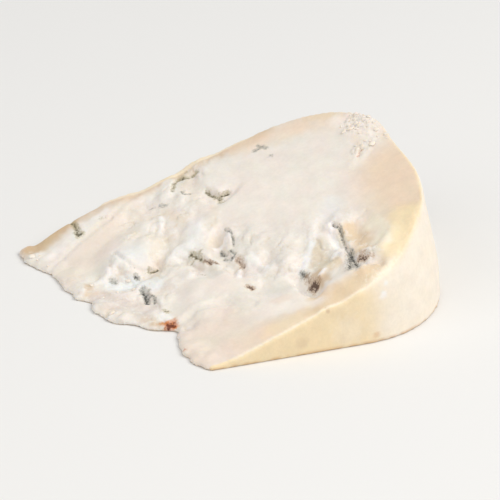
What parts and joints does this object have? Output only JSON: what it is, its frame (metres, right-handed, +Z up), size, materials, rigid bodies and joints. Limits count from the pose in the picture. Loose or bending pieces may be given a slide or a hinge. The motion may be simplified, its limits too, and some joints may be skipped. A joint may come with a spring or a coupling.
{
  "type": "blue cheese wedge",
  "caption": "Wedge of creamy white blue-veined cheese with a torn upper cut face, pale smooth rind and a thin broken edge, lying on its old cut face.",
  "frame": {"origin": "middle of the bounding box, on the flat resting face", "axes": "+X from the thin broken edge to the rim of the wheel, +Y from the flat side seen in the picture to the hidden one, +Z up"},
  "size_m": [0.1092, 0.09, 0.0361],
  "materials": {
    "cheese": "creamy matte paste with a faint moist sheen"
  },
  "bodies": {
    "root": {"wedge": "cheese"}
  },
  "joints": []
}
